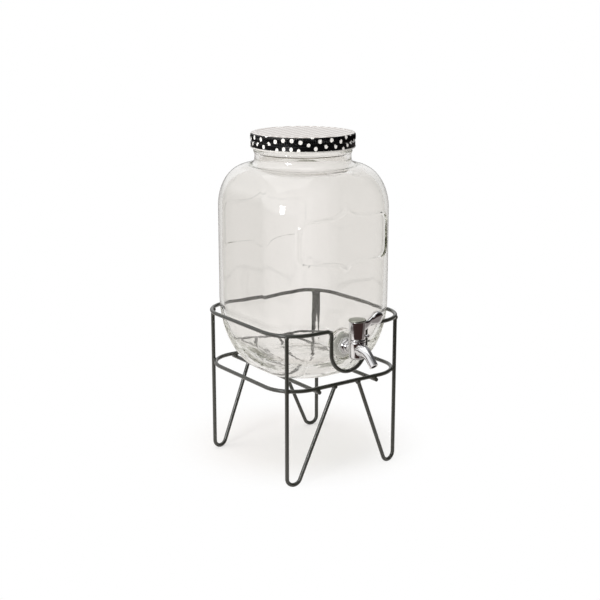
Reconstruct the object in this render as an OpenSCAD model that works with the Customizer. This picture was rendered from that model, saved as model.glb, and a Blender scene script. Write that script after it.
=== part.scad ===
// Glass drinks dispenser: a pressed glass jar with a screw lid and a side tap, on a wire stand.
// The origin is on the floor under the jar's axis, +Z is up and the tap faces -Y.

/* [Stand] */
// Diameter of the stand's wire
wire_d = 4; // [3:0.5:5]
// Height of the upper ring's centreline above the floor
top_ring_z = 167.2; // [160:0.1:180]
// Gap between the jar's flat side and the upper ring
ring_gap = 3.1; // [2:0.1:8]
// How much tighter the upper ring's corner bend is than the jar's corner
corner_drop = 4.5; // [0:0.5:8]
// Height of the lower ring's centreline above the floor
low_ring_z = 106.4; // [95:0.1:112]
// Corner radius of the lower ring's centreline
low_corner_r = 35.3; // [25:0.1:45]
// Centreline radius of the bend at each foot
foot_r = 8; // [5:0.5:12]
// Distance from the middle at which a leg's slanting wire meets the lower ring
hairpin_x = 15.5; // [8:0.5:30]
// Distance of each crossbar from the middle
crossbar_x = 38.3; // [20:0.1:42]
// Length of a crossbar past the lower ring's centreline
crossbar_over = 3.9; // [2.5:0.1:8]
// How deep two crossing wires sink into each other at a weld
weld_sink = 0.4; // [0.2:0.1:0.8]
// How deep a wire's end sinks into the wire that it is welded to
end_sink = 1; // [0.5:0.1:1.4]
// Gap between the tap's boss and the dip in the upper ring
dip_gap = 3.8; // [2:0.1:8]
// Drop of the dip's round centre below the tap's axis
dip_drop = 3.9; // [0:0.1:8]
// Centreline radius of the bends at the top of the dip
dip_bend_r = 6; // [4:0.5:9]

/* [Jar] */
// Half the jar's width across its flat sides
jar_half = 78.2; // [74:0.1:90]
// Corner radius of the jar's body
jar_corner_r = 42; // [36:0.5:48]
// Thickness of the jar's wall
jar_wall = 4; // [3:0.25:6]
// Radius of the flat base
base_r = 44; // [43:0.5:50]
// Thickness of the glass in the base
base_t = 9; // [6:0.5:14]
// Height of the curve from the base to the straight sides
lower_h = 80; // [72:1:90]
// Height of the straight sides
side_h = 100; // [60:1:140]
// Height of the shoulder's curve
shoulder_h = 46; // [36:1:60]
// Outer radius of the neck
neck_r = 52; // [46:0.25:58]
// Width of the shoulder's flat top outside the neck
shoulder_out = 8; // [6:0.5:12]
// Thickness of the neck's wall
neck_wall = 4.5; // [3:0.25:6]
// Height of the neck from the shoulder's top to the rim
neck_h = 33.4; // [30:0.1:40]
// Height of the neck's bead above the shoulder's top
bead_up = 15.2; // [11:0.1:15.5]
// Radius of the bead's round section
bead_r = 3.2; // [2:0.1:3.5]
// How far the bead stands out of the neck
bead_out = 1.1; // [0.5:0.1:2]
// Gap between the jar's base and the crossbars
seat_gap = 0.2; // [0.1:0.1:0.5]

/* [Lid] */
// Depth of the lid from its top to its rolled edge
lid_h = 16; // [14:0.5:17]
// Thickness of the lid's sheet
lid_t = 0.6; // [0.4:0.1:1]
// Radius of the rounding at the lid's top edge
lid_round = 2; // [1.2:0.1:3]
// Radius of the rolled lower edge
curl_r = 0.9; // [0.7:0.1:1.2]
// Gap between the neck and the inside of the lid's skirt
skirt_gap = 3.9; // [3.4:0.1:5]
// Thickness of the sealing liner
liner_t = 1; // [0.6:0.1:1.5]
// Gap between the liner's edge and the skirt
liner_gap = 0.3; // [0.2:0.1:0.6]
// Rise of the lid in one turn
thread_lead = 5.08; // [4.5:0.01:6]
// How far each thread ridge reaches past the middle of the skirt gap
thread_bite = 0.3; // [0.1:0.05:0.6]
// Width of a thread ridge at its root
thread_root = 2.2; // [1.6:0.1:2.6]
// Width of a thread ridge at its crest
thread_crest = 0.8; // [0.5:0.1:1.2]
// Height of the thread's start below the rim
thread_down = 11.2; // [9:0.1:12]
// Turns of the ridge on the neck
neck_turns = 1.25; // [1:0.25:1.5]
// Turns of the ridge in the lid
lid_turns = 1; // [0.75:0.25:1]

/* [Tap seat] */
// Height of the tap's axis above the jar's base
tap_up = 41.4; // [38:0.1:48]
// Radius of the glass boss under the tap
boss_r = 17; // [15:0.5:20]
// How far the boss's face lies inside the jar's flat side
boss_back = 0.9; // [0:0.1:2]
// Thickness of the glass under the tap's washers
seat_t = 4.8; // [4:0.1:6]
// Diameter of the tap's threaded shank
shank_d = 15; // [12:0.5:16]
// Gap between the shank and the hole in the glass
hole_gap = 0.5; // [0.3:0.1:1]
// Gap between the shank and the washers and nut on it
shank_gap = 0.1; // [0.05:0.05:0.2]
// Bore of the shank
shank_bore = 8; // [5:0.5:9]
// Length of the shank past the nut
shank_end = 6; // [2:0.5:12]
// Outer diameter of the inner washer
washer_d = 26; // [22:0.5:28]
// Outer diameter of the washer under the tap's flange
outer_washer_d = 19; // [17:0.5:24]
// Gap round the inner washer in its flat seat in the glass
spot_gap = 1; // [0.5:0.1:2]
// Thickness of the outer washer
outer_washer_t = 1.8; // [1:0.1:2.5]
// Thickness of the inner washer
inner_washer_t = 2.4; // [1.5:0.1:3.5]
// Width of the nut across its flats
nut_flats = 22; // [20:0.5:24]
// Thickness of the nut
nut_t = 8; // [5:0.5:12]

/* [Tap] */
// Radius of the tap's flange
flange_r = 9; // [8.5:0.25:13]
// Thickness of the tap's flange at its rim
flange_rim = 1.6; // [1:0.1:2.5]
// Height of the flange's dome in front of its rim
flange_dome = 3.6; // [2:0.1:4.5]
// Diameter of the neck between flange and barrel
tap_neck_d = 13; // [11:0.25:15]
// Distance from the glass boss to the barrel's axis
reach = 20.2; // [19:0.1:26]
// Diameter of the barrel
barrel_d = 17.6; // [16.6:0.1:19]
// Height of the barrel's top above the tap's axis
barrel_up = 10; // [9.8:0.1:14]
// Thickness of the barrel's floor
barrel_floor = 2.5; // [1.5:0.1:4]
// Radius of the rounding under the barrel
barrel_round = 3; // [1:0.25:4]
// Diameter of the turning plug
plug_d = 12; // [11:0.25:13]
// Height of the plug below the tap's axis
plug_down = 7.2; // [6.8:0.1:9]
// Diameter of the plug's cross hole
plug_hole = 7; // [5:0.25:7.5]
// Running gap round the plug and its stem
run_gap = 0.05; // [0.03:0.01:0.1]
// Gap above and below the plug
end_gap = 0.2; // [0.1:0.05:0.3]
// Section diameter of the plug's seals
seal_d = 1.3; // [1:0.1:1.6]
// Distance of each seal from the tap's axis
seal_off = 5.3; // [5:0.1:5.8]
// Height of the spout's root above the tap's axis
spout_up = 1.5; // [0:0.1:3]
// Length of the spout's root in front of the barrel's axis
spout_root = 7; // [6:0.5:12]
// Centreline radius of the spout's bend
spout_bend_r = 22; // [14:0.5:30]
// Angle of the spout's bend
spout_bend = 46; // [30:1:70]
// Length of the spout's straight end
spout_end = 8.5; // [4:0.5:14]
// Outer diameter of the spout
spout_d = 9.8; // [8.6:0.1:12]
// Bore of the spout
spout_bore = 6.2; // [4.5:0.1:7]

/* [Lever] */
// Diameter of the lever's hub
hub_d = 17.4; // [16:0.1:19]
// Height of the lever's hub
hub_h = 19.4; // [17:0.1:22]
// Gap under the hub
hub_gap = 0.3; // [0.2:0.05:0.6]
// Diameter of the bonnet ring
bonnet_d = 18.4; // [18:0.1:20]
// Thickness of the bonnet ring's flange
bonnet_t = 1.7; // [1:0.1:2.5]
// Length of the bonnet's spigot in the barrel
spigot_h = 3; // [2:0.1:4]
// Wall of the bonnet's spigot outside the plug's bore
spigot_lap = 1; // [0.7:0.1:1.2]
// Fitting gap between pieces that are fixed together
fit_gap = 0.05; // [0.03:0.01:0.1]
// Diameter of the plug's stem
stem_d = 8; // [7:0.25:9]
// Width of the stem across its two flats
stem_flats = 6; // [5:0.25:6.5]
// Depth of the hub's socket for the stem
socket_h = 12.4; // [8:0.1:13]
// Thickness of the web between socket and screw head
web_t = 2.4; // [1.6:0.1:3]
// Diameter of the screw's thread
screw_d = 3; // [2.5:0.1:3.5]
// Length of the screw under its head
screw_len = 9; // [6:0.5:11]
// Diameter of the screw's head
head_d = 5.8; // [5:0.1:6.5]
// Height of the screw's head
head_h = 2; // [1.4:0.1:2.4]
// Diameter of the recess over the screw
recess_d = 8; // [7:0.1:10]
// Diameter of the hub's cap
cap_d = 18.6; // [17:0.1:20]
// Thickness of the hub's cap
cap_t = 1.8; // [1.2:0.1:3]
// Depth of the cap's plug in the recess
cap_plug = 1.4; // [0.8:0.1:1.6]
// Radius of the stop pin on the bonnet
stop_r = 0.9; // [0.6:0.1:1.1]
// Height of the stop pin above the bonnet
stop_h = 1.3; // [0.8:0.1:1.6]
// Gap round the stop pin in its slot
stop_gap = 0.15; // [0.1:0.05:0.3]
// Angle that the lever turns from closed to open
lever_turn = 90; // [60:5:110]
// Distance of the finger disc's centre from the barrel's axis
finger_x = 27; // [24:0.5:40]
// Height of the finger disc's centre above the hub's foot
finger_up = 18; // [12:0.1:22]
// Radius of the finger disc
finger_r = 6.8; // [5:0.1:9]
// Thickness of the finger disc
finger_t = 7; // [5:0.1:9]
// Depth of the rounding at the finger disc's rim
finger_round = 2.8; // [1.5:0.1:3.4]
// Thickness of the lever's arm
arm_t = 5; // [3.5:0.1:6.5]
// Depth of the arm at the hub
arm_root = 12.4; // [9:0.1:14]
// Depth of the arm at its waist
arm_waist = 7.6; // [5.5:0.1:9]
// How deep the arm's root sinks into the hub
arm_sink = 0.5; // [0.3:0.1:0.8]
// Drop of the arm's root below the hub's top
arm_drop = 0.6; // [0.3:0.1:2]
// Rise of the arm's waist above the line from root to finger disc
waist_rise = 0.8; // [0:0.1:2]

/* [Hidden] */
$fn = 48;

// How far a cut runs past the face that it opens
cut_over = 1;

// A length to the nearest hundredth of a millimetre, so that the ends of bends and wires meet
function hundredths(length) = round(100 * length) / 100;

// Stand: the upper ring clears the jar, the legs stand under its corners, the lower ring touches them
wire_r = wire_d / 2;
ring_half = jar_half + ring_gap + wire_r;
ring_corner_r = jar_corner_r - corner_drop;
leg_xy = ring_half - ring_corner_r * (1 - sqrt(0.5));
low_half = hundredths(leg_xy - (wire_d - weld_sink) * sqrt(0.5) + low_corner_r * (1 - sqrt(0.5)));
crossbar_z = low_ring_z - wire_d + weld_sink;

// Jar: heights from the crossbars up
jar_z = crossbar_z + wire_r + seat_gap;
side_z = jar_z + lower_h;
shoulder_z = side_z + side_h;
neck_z = shoulder_z + shoulder_h;
rim_z = neck_z + neck_h;
floor_z = jar_z + base_t;
side_c = jar_half - jar_corner_r;
neck_bore_r = neck_r - neck_wall;
shoulder_r = neck_r + shoulder_out;
// Least half length of a flat side, where the section is all but round
round_c = 0.4;
// Angle at which the round under the neck runs into the neck
fillet_end = 72;
// Steps of a quarter corner and of each curved stretch of the jar's side
corner_steps = 9;
side_steps = 8;

// Tap: places along its axis, forward of the jar's axis
tap_z = jar_z + tap_up;
boss_y = jar_half - boss_back;
seat_y = boss_y - seat_t;
flange_y = boss_y + outer_washer_t;
nut_y = seat_y - inner_washer_t;
shank_y = nut_y - nut_t - shank_end;
barrel_y = boss_y + reach;
barrel_top = tap_z + barrel_up;
plug_z = tap_z - plug_down;
bore_floor = plug_z - end_gap;
barrel_z = bore_floor - barrel_floor;
bore_top = barrel_top - spigot_h;
plug_top = bore_top - end_gap;
spigot_d = plug_d + 2 * run_gap + 2 * spigot_lap;
hub_z = barrel_top + bonnet_t + hub_gap;
hub_top = hub_z + hub_h;
stem_top = hub_z + socket_h - end_gap;
web_top = hub_z + socket_h + web_t;
stop_ring_r = (stem_d + hub_d) / 4;
stop_margin = asin((stop_r + stop_gap) / stop_ring_r);
// Direction of the stop pin seen from the barrel's axis, at the back where it is hidden
stop_dir = 135;
dip_half = boss_r + dip_gap + wire_r;
dip_z = tap_z - dip_drop;

// Lid: sizes from the neck
lid_in_r = neck_r + skirt_gap;
lid_r = lid_in_r + lid_t;
lid_top = rim_z + liner_t + lid_t;
lid_z = lid_top - lid_h;
thread_h = skirt_gap / 2 + thread_bite;
thread_z = rim_z - thread_down;

module wire(length) { cylinder(d = wire_d, h = length); }

module bend(r, angle) { rotate_extrude(angle = angle) translate([r, 0]) circle(d = wire_d); }

// One corner, and one straight side, of a rounded square ring, placed by quarter turns
module ring_corner(half, r, turn) {
    rotate([0, 0, 90 * turn]) translate([half - r, half - r, 0]) bend(r, 90);
}

module ring_side(half, r, turn) {
    rotate([0, 0, 90 * turn]) translate([half, r - half, 0]) rotate([-90, 0, 0]) wire(2 * (half - r));
}

// Half of the front side with the dip, drawn in the plane of the front
module dip_side() {
    bend_x = dip_half + dip_bend_r;
    bend_y = top_ring_z - dip_bend_r;
    translate([bend_x, top_ring_z, 0]) rotate([0, 90, 0]) wire(ring_half - ring_corner_r - bend_x);
    translate([bend_x, bend_y, 0]) rotate([0, 0, 90]) bend(dip_bend_r, 90);
    translate([dip_half, dip_z, 0]) rotate([-90, 0, 0]) wire(bend_y - dip_z);
    translate([0, dip_z, 0]) rotate([0, 0, -90]) bend(dip_half, 90);
}

module stand_top_ring() {
    color("dimgray") {
        translate([0, 0, top_ring_z]) {
            for (turn = [0:3]) ring_corner(ring_half, ring_corner_r, turn);
            for (turn = [0:2]) ring_side(ring_half, ring_corner_r, turn);
        }
        translate([0, -ring_half, 0]) rotate([90, 0, 0]) {
            dip_side();
            mirror([1, 0, 0]) dip_side();
        }
    }
}

module stand_bottom_ring() {
    color("dimgray") translate([0, 0, low_ring_z]) {
        for (turn = [0:3]) ring_corner(low_half, low_corner_r, turn);
        for (turn = [0:3]) ring_side(low_half, low_corner_r, turn);
    }
}

// The front left hairpin: upright wire, bend at the floor, slanting wire up to the lower ring
module hairpin() {
    plan = [leg_xy - hairpin_x, leg_xy - low_half];
    bend_z = foot_r + wire_r;
    top = [norm(plan) - foot_r, low_ring_z - wire_r + end_sink - bend_z];
    slant = sqrt(top * top - foot_r * foot_r);
    rise = atan2(top[1], top[0]) + atan2(foot_r, slant);
    translate([-leg_xy, -leg_xy, 0]) rotate([0, 0, atan2(plan[1], plan[0])]) rotate([90, 0, 0]) {
        translate([0, bend_z, 0]) rotate([-90, 0, 0]) wire(top_ring_z - wire_r + end_sink - bend_z);
        translate([foot_r, bend_z, 0]) {
            rotate([0, 0, 180]) bend(foot_r, rise + 90);
            rotate([0, 0, rise - 90]) translate([foot_r, 0, 0]) rotate([-90, 0, 0]) wire(slant);
        }
    }
}

module leg_front_left() { color("dimgray") hairpin(); }
module leg_front_right() { color("dimgray") mirror([1, 0, 0]) hairpin(); }
module leg_rear_left() { color("dimgray") mirror([0, 1, 0]) hairpin(); }
module leg_rear_right() { color("dimgray") rotate([0, 0, 180]) hairpin(); }

module crossbar(x) {
    reach_y = low_half + crossbar_over;
    color("dimgray") translate([x, -reach_y, crossbar_z]) rotate([-90, 0, 0]) wire(2 * reach_y);
}

module crossbar_left() { crossbar(-crossbar_x); }
module crossbar_right() { crossbar(crossbar_x); }

// A rounded square ring of points: corner centres at c, corner radius r, height z
function section(c, r, z) = [
    for (turn = [0:3]) for (i = [0:corner_steps])
        let (a = 90 * (turn + i / corner_steps), q = 90 * turn + 45)
        [c * sqrt(2) * cos(q) + r * cos(a), c * sqrt(2) * sin(q) + r * sin(a), z]
];

// The glass surface from base to neck. A wall of 0 gives the outside, the real wall the inside.
function glass_sections(wall, bottom_z, bottom_r, neck) = let (
    body_r = jar_corner_r - wall,
    top_r = shoulder_r - wall,
    fillet = top_r - neck
) concat(
    [for (i = [0:side_steps]) let (a = 90 * i / side_steps)
        section(max(side_c * sin(a), round_c), bottom_r + (body_r - bottom_r) * sin(a),
            bottom_z + (side_z - bottom_z) * (1 - cos(a)))],
    [for (i = [0:side_steps]) let (a = 90 * i / side_steps)
        section(max(side_c * cos(a), round_c), body_r + (top_r - body_r) * (1 - cos(a)),
            shoulder_z + (shoulder_h - wall) * sin(a))],
    [for (i = [1:3]) let (a = fillet_end * i / 3)
        section(round_c, top_r - fillet * sin(a) - round_c, neck_z - wall + fillet * (1 - cos(a)))]
);

module loft(rings) {
    n = len(rings[0]);
    last = len(rings) - 1;
    points = [for (ring = rings) for (p = ring) p];
    sides = [
        for (k = [0:last - 1]) for (i = [0:n - 1])
            let (a = k * n + i, b = k * n + (i + 1) % n)
            each [[a, a + n, b], [b, a + n, b + n]]
    ];
    base = [for (i = [0:n - 1]) i];
    cap = [for (i = [n - 1:-1:0]) last * n + i];
    polyhedron(points, concat(sides, [base, cap]));
}

// A thread ridge: root and crest in the section, at the given root radius, reaching out or in
module ridge(root_r, out, turns, start, z) {
    step = 6;
    steps = round(360 * turns / step);
    sink = lid_t / 2;
    profile = [
        [root_r - out * sink, -thread_root / 2], [root_r + out * thread_h, -thread_crest / 2],
        [root_r + out * thread_h, thread_crest / 2], [root_r - out * sink, thread_root / 2]
    ];
    rings = [for (i = [0:steps]) let (a = start + step * i) [
        for (p = profile) [p[0] * cos(a), p[0] * sin(a), z + p[1] + thread_lead * a / 360]
    ]];
    if (out > 0) loft([for (i = [0:steps]) [for (k = [3:-1:0]) rings[i][k]]]);
    else loft(rings);
}

// Runs a child along the tap's axis: local z is the distance forward of the jar's axis
module on_tap_axis(forward) { translate([0, -forward, tap_z]) rotate([90, 0, 0]) children(); }

module jar() {
    color("lightcyan", 0.4) difference() {
        union() {
            loft(glass_sections(0, jar_z, base_r, neck_r + round_c));
            translate([0, 0, shoulder_z]) cylinder(r = neck_r, h = rim_z - shoulder_z);
            translate([0, 0, neck_z + bead_up]) rotate_extrude()
                translate([neck_r + bead_out - bead_r, 0]) circle(bead_r);
            ridge(neck_r, 1, neck_turns, 0, thread_z);
            on_tap_axis(seat_y - seat_t) cylinder(r = boss_r, h = boss_y - seat_y + seat_t);
        }
        loft(glass_sections(jar_wall, floor_z, base_r - 2 * jar_wall, neck_bore_r + round_c));
        translate([0, 0, shoulder_z]) cylinder(r = neck_bore_r, h = rim_z - shoulder_z + cut_over);
        on_tap_axis(shank_y) cylinder(d = washer_d + 2 * spot_gap, h = seat_y - shank_y);
        on_tap_axis(shank_y) cylinder(d = shank_d + 2 * hole_gap, h = barrel_y - shank_y);
    }
}

module lid_shell() {
    top = [lid_r - lid_round, lid_top - lid_round];
    curl = [lid_r - curl_r, lid_z + curl_r];
    in_round = lid_round - lid_t;
    roll = 360 - acos(1 - lid_t / curl_r);
    color("black") {
        rotate_extrude($fn = 96) polygon(concat(
            [[0, lid_top - lid_t], [0, lid_top]],
            [for (i = [0:6]) let (a = 90 - 15 * i) top + lid_round * [cos(a), sin(a)]],
            [for (i = [0:12]) let (a = -roll * i / 12) curl + curl_r * [cos(a), sin(a)]],
            [for (i = [0:6]) let (a = 15 * i) top + in_round * [cos(a), sin(a)]]
        ));
        ridge(lid_in_r, -1, lid_turns, 90, thread_z - thread_lead / 2);
    }
}

module lid_liner() {
    color("ivory") translate([0, 0, rim_z]) cylinder(r = lid_in_r - liner_gap - lid_round, h = liner_t);
}

// The spout's path from the barrel's axis: straight root, bend, straight end
module spout(d, past) {
    root_z = tap_z + spout_up;
    translate([0, -barrel_y, root_z]) rotate([90, 0, 0]) cylinder(d = d, h = spout_root);
    translate([0, -barrel_y - spout_root, root_z - spout_bend_r]) rotate([spout_bend, 0, 0]) {
        rotate([0, -90, 0]) rotate_extrude(angle = spout_bend) translate([spout_bend_r, 0]) circle(d = d);
        translate([0, 0, spout_bend_r]) rotate([90, 0, 0]) cylinder(d = d, h = spout_end + past);
    }
}

module tap_body() {
    rim_y = flange_y + flange_rim;
    dome_r = flange_r - tap_neck_d / 2;
    color("silver") difference() {
        union() {
            on_tap_axis(shank_y) cylinder(d = shank_d, h = flange_y - shank_y);
            on_tap_axis(0) rotate_extrude() polygon(concat(
                [[0, flange_y], [flange_r, flange_y]],
                [for (i = [0:6]) let (a = 15 * i)
                    [flange_r - dome_r * (1 - cos(a)), rim_y + flange_dome * sin(a)]],
                [[0, rim_y + flange_dome]]
            ));
            on_tap_axis(flange_y) cylinder(d = tap_neck_d, h = barrel_y - flange_y);
            translate([0, -barrel_y, 0]) rotate_extrude() polygon(concat(
                [[0, barrel_top], [0, barrel_z]],
                [for (i = [0:6]) let (a = 15 * i - 90)
                    [barrel_d / 2 + barrel_round * (cos(a) - 1), barrel_z + barrel_round * (1 + sin(a))]],
                [[barrel_d / 2, barrel_top]]
            ));
            spout(spout_d, 0);
        }
        translate([0, -barrel_y, bore_floor])
            cylinder(d = plug_d + 2 * run_gap, h = barrel_top - bore_floor + cut_over);
        translate([0, -barrel_y, bore_top]) cylinder(d = spigot_d + 2 * fit_gap, h = spigot_h + cut_over);
        on_tap_axis(shank_y - cut_over) cylinder(d = shank_bore, h = barrel_y - shank_y + cut_over);
        spout(spout_bore, cut_over);
    }
}

module ring(d, hole, h) {
    difference() {
        cylinder(d = d, h = h);
        translate([0, 0, -cut_over]) cylinder(d = hole, h = h + 2 * cut_over);
    }
}

module tap_outer_washer() {
    color("gainsboro") on_tap_axis(boss_y)
        ring(outer_washer_d, shank_d + 2 * shank_gap, outer_washer_t);
}

module tap_inner_washer() {
    color("gainsboro") on_tap_axis(nut_y) ring(washer_d, shank_d + 2 * shank_gap, inner_washer_t);
}

module tap_lock_nut() {
    color("whitesmoke") on_tap_axis(nut_y - nut_t) difference() {
        cylinder(d = nut_flats / cos(30), h = nut_t, $fn = 6);
        translate([0, 0, -cut_over]) cylinder(d = shank_d + 2 * shank_gap, h = nut_t + 2 * cut_over);
    }
}

module bonnet_ring() {
    color("silver") translate([0, -barrel_y, barrel_top]) {
        difference() {
            union() {
                cylinder(d = bonnet_d, h = bonnet_t);
                translate([0, 0, -spigot_h]) cylinder(d = spigot_d, h = spigot_h);
            }
            translate([0, 0, -spigot_h - cut_over])
                cylinder(d = stem_d + 2 * run_gap, h = spigot_h + bonnet_t + 2 * cut_over);
        }
        rotate([0, 0, stop_dir]) translate([stop_ring_r, 0, bonnet_t / 2])
            cylinder(r = stop_r, h = bonnet_t / 2 + stop_h);
    }
}

// The stem's section: round with two flats, enlarged by a gap all round
module stem_section(gap) {
    intersection() {
        circle(d = stem_d + 2 * gap);
        square([stem_d + 2 * gap, stem_flats + 2 * gap], center = true);
    }
}

module seal_groove(z) {
    translate([0, 0, z - seal_d / 2]) ring(plug_d + cut_over, plug_d - 2 * seal_d, seal_d);
}

module valve_plug() {
    color("white") translate([0, -barrel_y, 0]) difference() {
        union() {
            translate([0, 0, plug_z]) cylinder(d = plug_d, h = plug_top - plug_z);
            translate([0, 0, plug_z]) cylinder(d = stem_d, h = hub_z - plug_z);
            translate([0, 0, plug_z]) linear_extrude(stem_top - plug_z) stem_section(0);
        }
        translate([0, 0, tap_z]) rotate([0, 90, 0])
            cylinder(d = plug_hole, h = plug_d + 2 * cut_over, center = true);
        seal_groove(tap_z - seal_off);
        seal_groove(tap_z + seal_off);
        translate([0, 0, web_top - screw_len - cut_over])
            cylinder(d = screw_d + 2 * fit_gap, h = screw_len + cut_over);
    }
}

module plug_seal(z) {
    color("black") translate([0, -barrel_y, z]) rotate_extrude()
        translate([(plug_d - seal_d) / 2, 0]) circle(d = seal_d);
}

module plug_seal_upper() { plug_seal(tap_z + seal_off); }
module plug_seal_lower() { plug_seal(tap_z - seal_off); }

// The lever's arm: an upright rounded bar at a distance from the axis, between two heights
module arm_bar(x, middle, depth) {
    for (side = [-1, 1]) translate([x, 0, middle + side * (depth - arm_t) / 2]) sphere(d = arm_t, $fn = 24);
}

module tap_lever() {
    root_x = hub_d / 2 - arm_t / 2;
    waist_x = (root_x + finger_x) / 2;
    root_z = hub_h - arm_root / 2 - arm_drop;
    waist_z = (root_z + finger_up) / 2 + waist_rise;
    slot_w = stop_r + stop_gap;
    color("silver") translate([0, -barrel_y, hub_z]) {
        difference() {
            cylinder(d = hub_d, h = hub_h);
            translate([0, 0, -cut_over]) linear_extrude(socket_h + cut_over) stem_section(fit_gap);
            cylinder(d = screw_d + 2 * fit_gap, h = hub_h);
            translate([0, 0, socket_h + web_t]) cylinder(d = recess_d, h = hub_h);
            rotate([0, 0, stop_dir - stop_margin]) rotate_extrude(angle = lever_turn + 2 * stop_margin)
                translate([stop_ring_r - slot_w, -cut_over])
                    square([2 * slot_w, stop_h + hub_gap + cut_over]);
        }
        difference() {
            union() {
                hull() { arm_bar(root_x, root_z, arm_root); arm_bar(waist_x, waist_z, arm_waist); }
                hull() { arm_bar(waist_x, waist_z, arm_waist); arm_bar(finger_x, finger_up, arm_waist); }
            }
            translate([0, 0, -cut_over]) cylinder(d = hub_d - 2 * arm_sink, h = hub_h + 2 * cut_over);
        }
        translate([finger_x, 0, finger_up]) rotate([90, 0, 0]) finger_disc();
    }
}

// The round end of the lever, full at the middle and rounded to its rim
module finger_disc() {
    edge = finger_t / 2;
    rotate_extrude() polygon(concat([[0, -edge]],
        [for (i = [0:12]) let (a = 15 * i - 90) [finger_r - finger_round * (1 - cos(a)), edge * sin(a)]],
        [[0, edge]]));
}

module lever_cap() {
    edge = cap_t / 3;
    color("silver") translate([0, -barrel_y, hub_top]) {
        rotate_extrude() polygon([[0, 0], [cap_d / 2 - edge, 0], [cap_d / 2, edge],
            [cap_d / 2, cap_t - edge], [cap_d / 2 - edge, cap_t], [0, cap_t]]);
        translate([0, 0, -cap_plug]) cylinder(d = recess_d - 2 * fit_gap, h = cap_plug);
    }
}

module lever_screw() {
    slot = head_h / 2;
    color("gray") translate([0, -barrel_y, web_top]) difference() {
        union() {
            cylinder(d = head_d, h = head_h);
            translate([0, 0, -screw_len]) cylinder(d = screw_d, h = screw_len);
        }
        translate([-head_d, -slot / 2, slot]) cube([2 * head_d, slot, head_h]);
    }
}

stand_top_ring();
stand_bottom_ring();
leg_front_left();
leg_front_right();
leg_rear_left();
leg_rear_right();
crossbar_left();
crossbar_right();
jar();
lid_shell();
lid_liner();
tap_body();
bonnet_ring();
tap_outer_washer();
tap_inner_washer();
tap_lock_nut();
valve_plug();
plug_seal_upper();
plug_seal_lower();
tap_lever();
lever_cap();
lever_screw();
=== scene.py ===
import math

import bmesh
import bpy
from mathutils import Matrix, Vector


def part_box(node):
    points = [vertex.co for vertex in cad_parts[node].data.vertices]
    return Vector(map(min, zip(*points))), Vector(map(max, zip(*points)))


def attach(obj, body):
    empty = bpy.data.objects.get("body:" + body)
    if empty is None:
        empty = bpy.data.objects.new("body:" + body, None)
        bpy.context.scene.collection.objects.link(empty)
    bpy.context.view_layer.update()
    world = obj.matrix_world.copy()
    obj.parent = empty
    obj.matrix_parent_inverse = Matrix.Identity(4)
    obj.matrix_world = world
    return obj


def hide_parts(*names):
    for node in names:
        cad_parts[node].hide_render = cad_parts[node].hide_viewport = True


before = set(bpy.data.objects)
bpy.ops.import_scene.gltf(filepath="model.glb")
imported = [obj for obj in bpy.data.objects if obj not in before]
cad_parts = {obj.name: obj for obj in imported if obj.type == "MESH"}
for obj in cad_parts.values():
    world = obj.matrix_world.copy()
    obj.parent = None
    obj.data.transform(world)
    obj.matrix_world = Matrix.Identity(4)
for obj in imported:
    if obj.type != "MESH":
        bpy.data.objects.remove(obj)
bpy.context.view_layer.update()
scene = bpy.context.scene
scene.view_settings.view_transform = "Standard"

# The camera stands in front of the dispenser, to its left and a little above its lid.
# It looks 14 degrees down, with a lens that gives the object six tenths of the picture's height.
MM = 0.001
camera = bpy.data.objects.new("camera", bpy.data.cameras.new("camera"))
scene.collection.objects.link(camera)
scene.camera = camera
look_down, look_right = 14.2, 35.535
camera.location = Vector((-780.8, -1087.8, 519.2)) * MM
camera.rotation_euler = (math.radians(90 - look_down), 0, math.radians(-look_right))
camera.data.lens, camera.data.sensor_width = 75, 36


# The studio is a white table that runs out into a white background, in a room that is dark in front of the
# table. A wide lamp hangs overhead, a tall window stands on the left and a small lamp at the left front.
def linear(code):
    """The linear colour of a six-digit sRGB code."""
    parts = [int(code[i:i + 2], 16) / 255 for i in (1, 3, 5)]
    return tuple(p / 12.92 if p <= 0.04045 else ((p + 0.055) / 1.055) ** 2.4 for p in parts) + (1.0,)


def add(tree, kind, sockets=(), **settings):
    """Adds a node with its settings, and gives each socket its value or the link that feeds it."""
    node = tree.nodes.new(kind)
    for name, value in settings.items():
        setattr(node, name, value)
    for name, value in dict(sockets).items():
        if isinstance(value, bpy.types.NodeSocket):
            tree.links.new(value, node.inputs[name])
        else:
            node.inputs[name].default_value = value
    return node


# Light runs a long way along the inside of thick glass, so its paths may have many bounces.
most_bounces = 256
scene.cycles.max_bounces = most_bounces
scene.cycles.transmission_bounces = scene.cycles.glossy_bounces = most_bounces

# Polished surfaces mirror the room: dim walls, darker to the front and the right, daylight on the left, a
# bright screen behind, and nothing below the horizon. Other surfaces get an even fill.
dark_wall, pale_wall, daylight, screen_light, fill_light = 0.035, 0.42, 0.7, 0.45, 0.62
scene.world = bpy.data.worlds.new("studio")
scene.world.use_nodes = True
tree = scene.world.node_tree
tree.nodes.clear()
ray = add(tree, "ShaderNodeLightPath")
way = add(tree, "ShaderNodeSeparateXYZ", {0: add(tree, "ShaderNodeTexCoord").outputs["Generated"]})
slant = add(tree, "ShaderNodeMath", {0: way.outputs["Z"], 1: 0.7, 2: way.outputs["Y"]},
            operation="MULTIPLY_ADD")
room = add(tree, "ShaderNodeMapRange", {
    "Value": slant.outputs[0], "From Min": -0.2, "From Max": 0.02, "To Min": dark_wall, "To Max": pale_wall},
    interpolation_type="SMOOTHSTEP")
day = add(tree, "ShaderNodeMapRange", {
    "Value": way.outputs["X"], "From Min": -0.4, "From Max": -0.75, "To Max": daylight},
    interpolation_type="SMOOTHSTEP")
right = add(tree, "ShaderNodeMath", {0: way.outputs["X"], 1: way.outputs["Y"]}, operation="SUBTRACT")
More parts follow.
